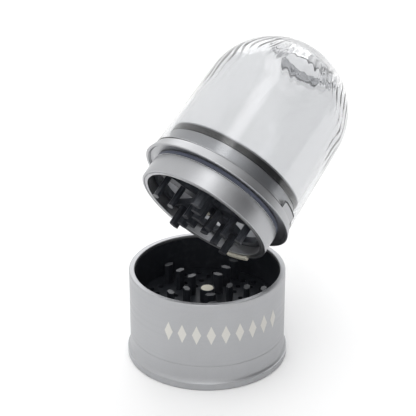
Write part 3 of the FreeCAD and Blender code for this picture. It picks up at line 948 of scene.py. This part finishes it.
class GRINDER_OT_dome(Operator):
    """Blow the clear dome: fluted inside, with an eight-sided pocket in the crown and notches at its mouth"""
    bl_idname = "grinder.dome"
    bl_label = "Dome"

    def execute(self, context):
        self.s = context.scene.grinder_dome
        self.lid = context.scene.grinder_lid
        draw = random.Random(self.s.seed)
        self.depths = [draw.uniform(0.6, 1.0) for _ in range(self.s.flutes)]
        columns = [self.column(math.tau * n / self.s.columns) for n in range(self.s.columns)]
        vertices = [point for column in columns for point in column]
        faces = ring_faces(len(columns), len(columns[0]))
        mesh = mesh_from("dome_jar", vertices, faces, LID)
        add_piece("dome_jar", mesh, "jar", clear_glass("dome_glass"), ["dome"], crease=60.0)
        return {"FINISHED"}

    def mouth_height(self, turn):
        """The mouth's height at an azimuth: raised over each key tab."""
        spare = self.s.notch_side / self.s.mouth_radius
        length = (self.lid.tab_sweep + 2 * spare) * self.s.mouth_radius
        rise = COLLAR.top + self.s.notch_gap - DOME.bottom
        raised = 0.0
        for n in range(self.lid.tab_count):
            start = self.lid.tab_start + math.tau * n / self.lid.tab_count - spare
            along = ((turn - start) % math.tau) * self.s.mouth_radius
            if along < length:
                raised = rise * smooth(min(along, length - along) / self.lid.tab_corner)
        return DOME.bottom + raised

    def wall_radius(self, height, inset):
        """The outer radius of the tapered wall at a height, less an inset."""
        share = (height - DOME.bottom) / (self.s.shoulder - DOME.bottom)
        return self.s.mouth_radius + (self.s.shoulder_radius - self.s.mouth_radius) * share - inset

    def crown(self, radius):
        """The height of the round crown at a radius."""
        return self.s.shoulder + math.sqrt(self.s.shoulder_radius ** 2 - radius ** 2)

    def flute(self, turn, height):
        """How far a flute draws the inner face in."""
        full = self.s.shoulder + self.s.flute_full
        fade = smooth((height - self.s.flute_end) / (full - self.s.flute_end))
        slow_sway = 0.05 * math.sin(height * 210.0)
        quick_sway = 0.03 * math.sin(height * 430.0 + 3 * turn)
        place = (turn + slow_sway + quick_sway) / math.tau * self.s.flutes
        first = math.floor(place)
        mix = smooth(place - first)
        count = self.s.flutes
        depth = self.depths[first % count] * (1 - mix) + self.depths[(first + 1) % count] * mix
        return self.s.flute_depth * fade * depth * (0.5 + 0.5 * math.cos(math.tau * place))

    def column(self, turn):
        """One column of points: up the outside, into the pocket, to the axis, and back down the inside."""
        s = self.s
        start = self.mouth_height(turn)
        pocket = eight_sided(turn, s.pocket_turn, s.pocket_radius)
        boss = eight_sided(turn, s.pocket_turn, s.pocket_radius + s.pocket_wall)
        points = self.outer_points(start, pocket) + self.inner_points(start, boss, turn)[::-1]
        return [(r * math.cos(turn), r * math.sin(turn), z) for r, z in points]

    def outer_points(self, start, pocket):
        """(radius, height) pairs from the mouth to the middle of the pocket's floor."""
        s = self.s
        points = []
        for out, up in quarter(4)[:-1]:
            points.append((self.wall_radius(start, s.edge * (1 - out)), start + s.edge * up))
        points += [(self.wall_radius(z, 0), z) for z in spread(start + s.edge, s.shoulder, 22)]
        rim = s.pocket_rim
        last = math.acos((pocket + rim) / s.shoulder_radius)
        for t in spread(0, last, 30)[1:]:
            points.append((s.shoulder_radius * math.cos(t), s.shoulder + s.shoulder_radius * math.sin(t)))
        top = self.crown(pocket + rim)
        points += [(pocket + rim * (1 - out), top - rim * up) for out, up in quarter(5)[1:]]
        foot = s.pocket_foot
        points += [(pocket, z) for z in spread(top - rim, s.pocket_floor + foot, 4)[1:]]
        points += [(pocket - foot * up, s.pocket_floor + foot * (1 - out)) for out, up in quarter(4)[1:]]
        points += [(r, s.pocket_floor) for r in spread(pocket - foot, 0, 4)[1:]]
        return points

    def inner_points(self, start, boss, turn):
        """(radius, height) pairs from the mouth to the middle of the pocket's underside."""
        s = self.s
        points = []
        for out, up in quarter(4)[:-1]:
            points.append((self.wall_radius(start, s.wall - s.edge * (1 - out)), start + s.edge * up))
        for z in spread(start + s.edge, s.shoulder, 22):
            points.append((self.wall_radius(z, s.wall) - self.flute(turn, z), z))
        curve = s.shoulder_radius - s.wall
        last = math.acos((boss + s.pocket_ease) / curve)
        for t in spread(0, last, 40)[1:]:
            height = s.shoulder + curve * math.sin(t)
            inner = curve - self.flute(turn, height) * smooth((last - t) / s.flute_calm)
            points.append((inner * math.cos(t), s.shoulder + inner * math.sin(t)))
        top = points[-1][1]
        edge = s.pocket_edge
        drop = s.pocket_bottom + edge - top
        for share in spread(0, 1, 8)[1:]:
            points.append((boss + s.pocket_ease * (1 - share), top + drop * smooth(share) ** 1.3))
        points += [(boss - edge * up, s.pocket_bottom + edge * (1 - out)) for out, up in quarter(3)[1:]]
        points += [(r, s.pocket_bottom) for r in spread(boss - edge, 0, 4)[1:]]
        return points


# -------- stage


class GRINDER_OT_stage(Operator):
    """Lay the floor, hang the lights and set up the camera"""
    bl_idname = "grinder.stage"
    bl_label = "Floor, lights and camera"

    def execute(self, context):
        s = context.scene.grinder_studio
        self.lay_floor(s)
        self.light_surround(context.scene, s)
        self.hang_softbox(context.scene, s)
        self.set_camera(context.scene, s)
        return {"FINISHED"}

    @staticmethod
    def lay_floor(s):
        """Lays one flat, matt sheet under everything."""
        half = s.floor_half
        mesh = bpy.data.meshes.new("floor")
        corners = [(-half, -half, 0), (half, -half, 0), (half, half, 0), (-half, half, 0)]
        mesh.from_pydata(corners, [], [(0, 1, 2, 3)])
        floor = bpy.data.objects.new("floor", mesh)
        bpy.context.scene.collection.objects.link(floor)
        finish = Finish("floor_pale")
        finish.set(Base_Color=whole(s.floor), Roughness=0.9, Specular_IOR_Level=0.0)
        mesh.materials.append(finish.material)

    @staticmethod
    def light_surround(scene, s):
        """Lights the scene softly from all round: dimmer on one side, with a bright strip overhead."""
        world = bpy.data.worlds.new("surround")
        scene.world = world
        world.use_nodes = True
        nodes = Nodes(world.node_tree)
        toward = nodes.node("ShaderNodeTexCoord", {}, {}, "Generated")
        dark_side = nodes.along(toward, (0.93, -0.20, 0.30))
        rightward = nodes.along(toward, (1.0, 0.0, 0.0))
        overhead = nodes.along(toward, (0.0, -0.25, 0.97))
        dark = nodes.ramp(dark_side, 0.60, 0.95)
        left = nodes.ramp(rightward, -0.22, -0.04)
        right = nodes.ramp(rightward, 0.04, 0.18)
        high = nodes.ramp(overhead, 0.70, 0.96)
        level = nodes.mix(dark, s.surround, s.dark)
        glow = nodes.mix(left * (1 - right) * high, level, s.bright)
        nodes.feed(world.node_tree.nodes["Background"].inputs["Color"], glow)

    @staticmethod
    def hang_softbox(scene, s):
        """Hangs one large soft lamp behind, faced at the grinder."""
        data = bpy.data.lights.new("back_softbox", "AREA")
        data.shape = "RECTANGLE"
        data.size = s.softbox_wide
        data.size_y = s.softbox_tall
        data.energy = s.softbox
        light = bpy.data.objects.new("back_softbox", data)
        light.location = s.softbox_at
        aim = Vector((0.0, 0.0, s.softbox_aim)) - light.location
        light.rotation_euler = aim.to_track_quat("-Z", "Y").to_euler()
        scene.collection.objects.link(light)

    @staticmethod
    def set_camera(scene, s):
        """Stands the camera in front, level with the axis and looking down at it."""
        data = bpy.data.cameras.new("camera")
        data.lens = s.lens
        data.sensor_width = s.sensor
        camera = bpy.data.objects.new("camera", data)
        back = s.distance * math.cos(s.elevation)
        rise = s.distance * math.sin(s.elevation)
        camera.location = (s.side, -back, s.aim + rise)
        camera.rotation_euler = (math.pi / 2 - s.elevation, 0, 0)
        scene.collection.objects.link(camera)
        scene.camera = camera
        scene.view_settings.view_transform = "Standard"


# -------- panel and registration

STEPS = (
    GRINDER_OT_tray,
    GRINDER_OT_cup,
    GRINDER_OT_lower_grinder,
    GRINDER_OT_band,
    GRINDER_OT_skirt,
    GRINDER_OT_upper_grinder,
    GRINDER_OT_collar,
    GRINDER_OT_neck,
    GRINDER_OT_dome,
    GRINDER_OT_stage,
)
GROUPS = {
    "grinder_cup": CupSizes,
    "grinder_band": BandSizes,
    "grinder_lid": LidSizes,
    "grinder_dome": DomeSizes,
    "grinder_finishes": Finishes,
    "grinder_studio": Studio,
}


class GRINDER_PT_panel(Panel):
    """Lists the steps that dress the grinder"""
    bl_idname = "GRINDER_PT_panel"
    bl_label = "Grinder"
    bl_space_type = "VIEW_3D"
    bl_region_type = "UI"
    bl_category = "Grinder"

    def draw(self, context):
        for step in STEPS:
            self.layout.operator(step.bl_idname)


def register():
    """Registers the groups, the steps and the panel."""
    for name, group in GROUPS.items():
        bpy.utils.register_class(group)
        setattr(bpy.types.Scene, name, PointerProperty(type=group))
    for step in STEPS:
        bpy.utils.register_class(step)
    bpy.utils.register_class(GRINDER_PT_panel)


def unregister():
    """Takes everything off again."""
    bpy.utils.unregister_class(GRINDER_PT_panel)
    for step in reversed(STEPS):
        bpy.utils.unregister_class(step)
    for name, group in GROUPS.items():
        delattr(bpy.types.Scene, name)
        bpy.utils.unregister_class(group)


def main():
    """Makes every piece in order."""
    register()
    for step in STEPS:
        group, name = step.bl_idname.split(".")
        getattr(getattr(bpy.ops, group), name)()


if __name__ == "__main__":
    main()
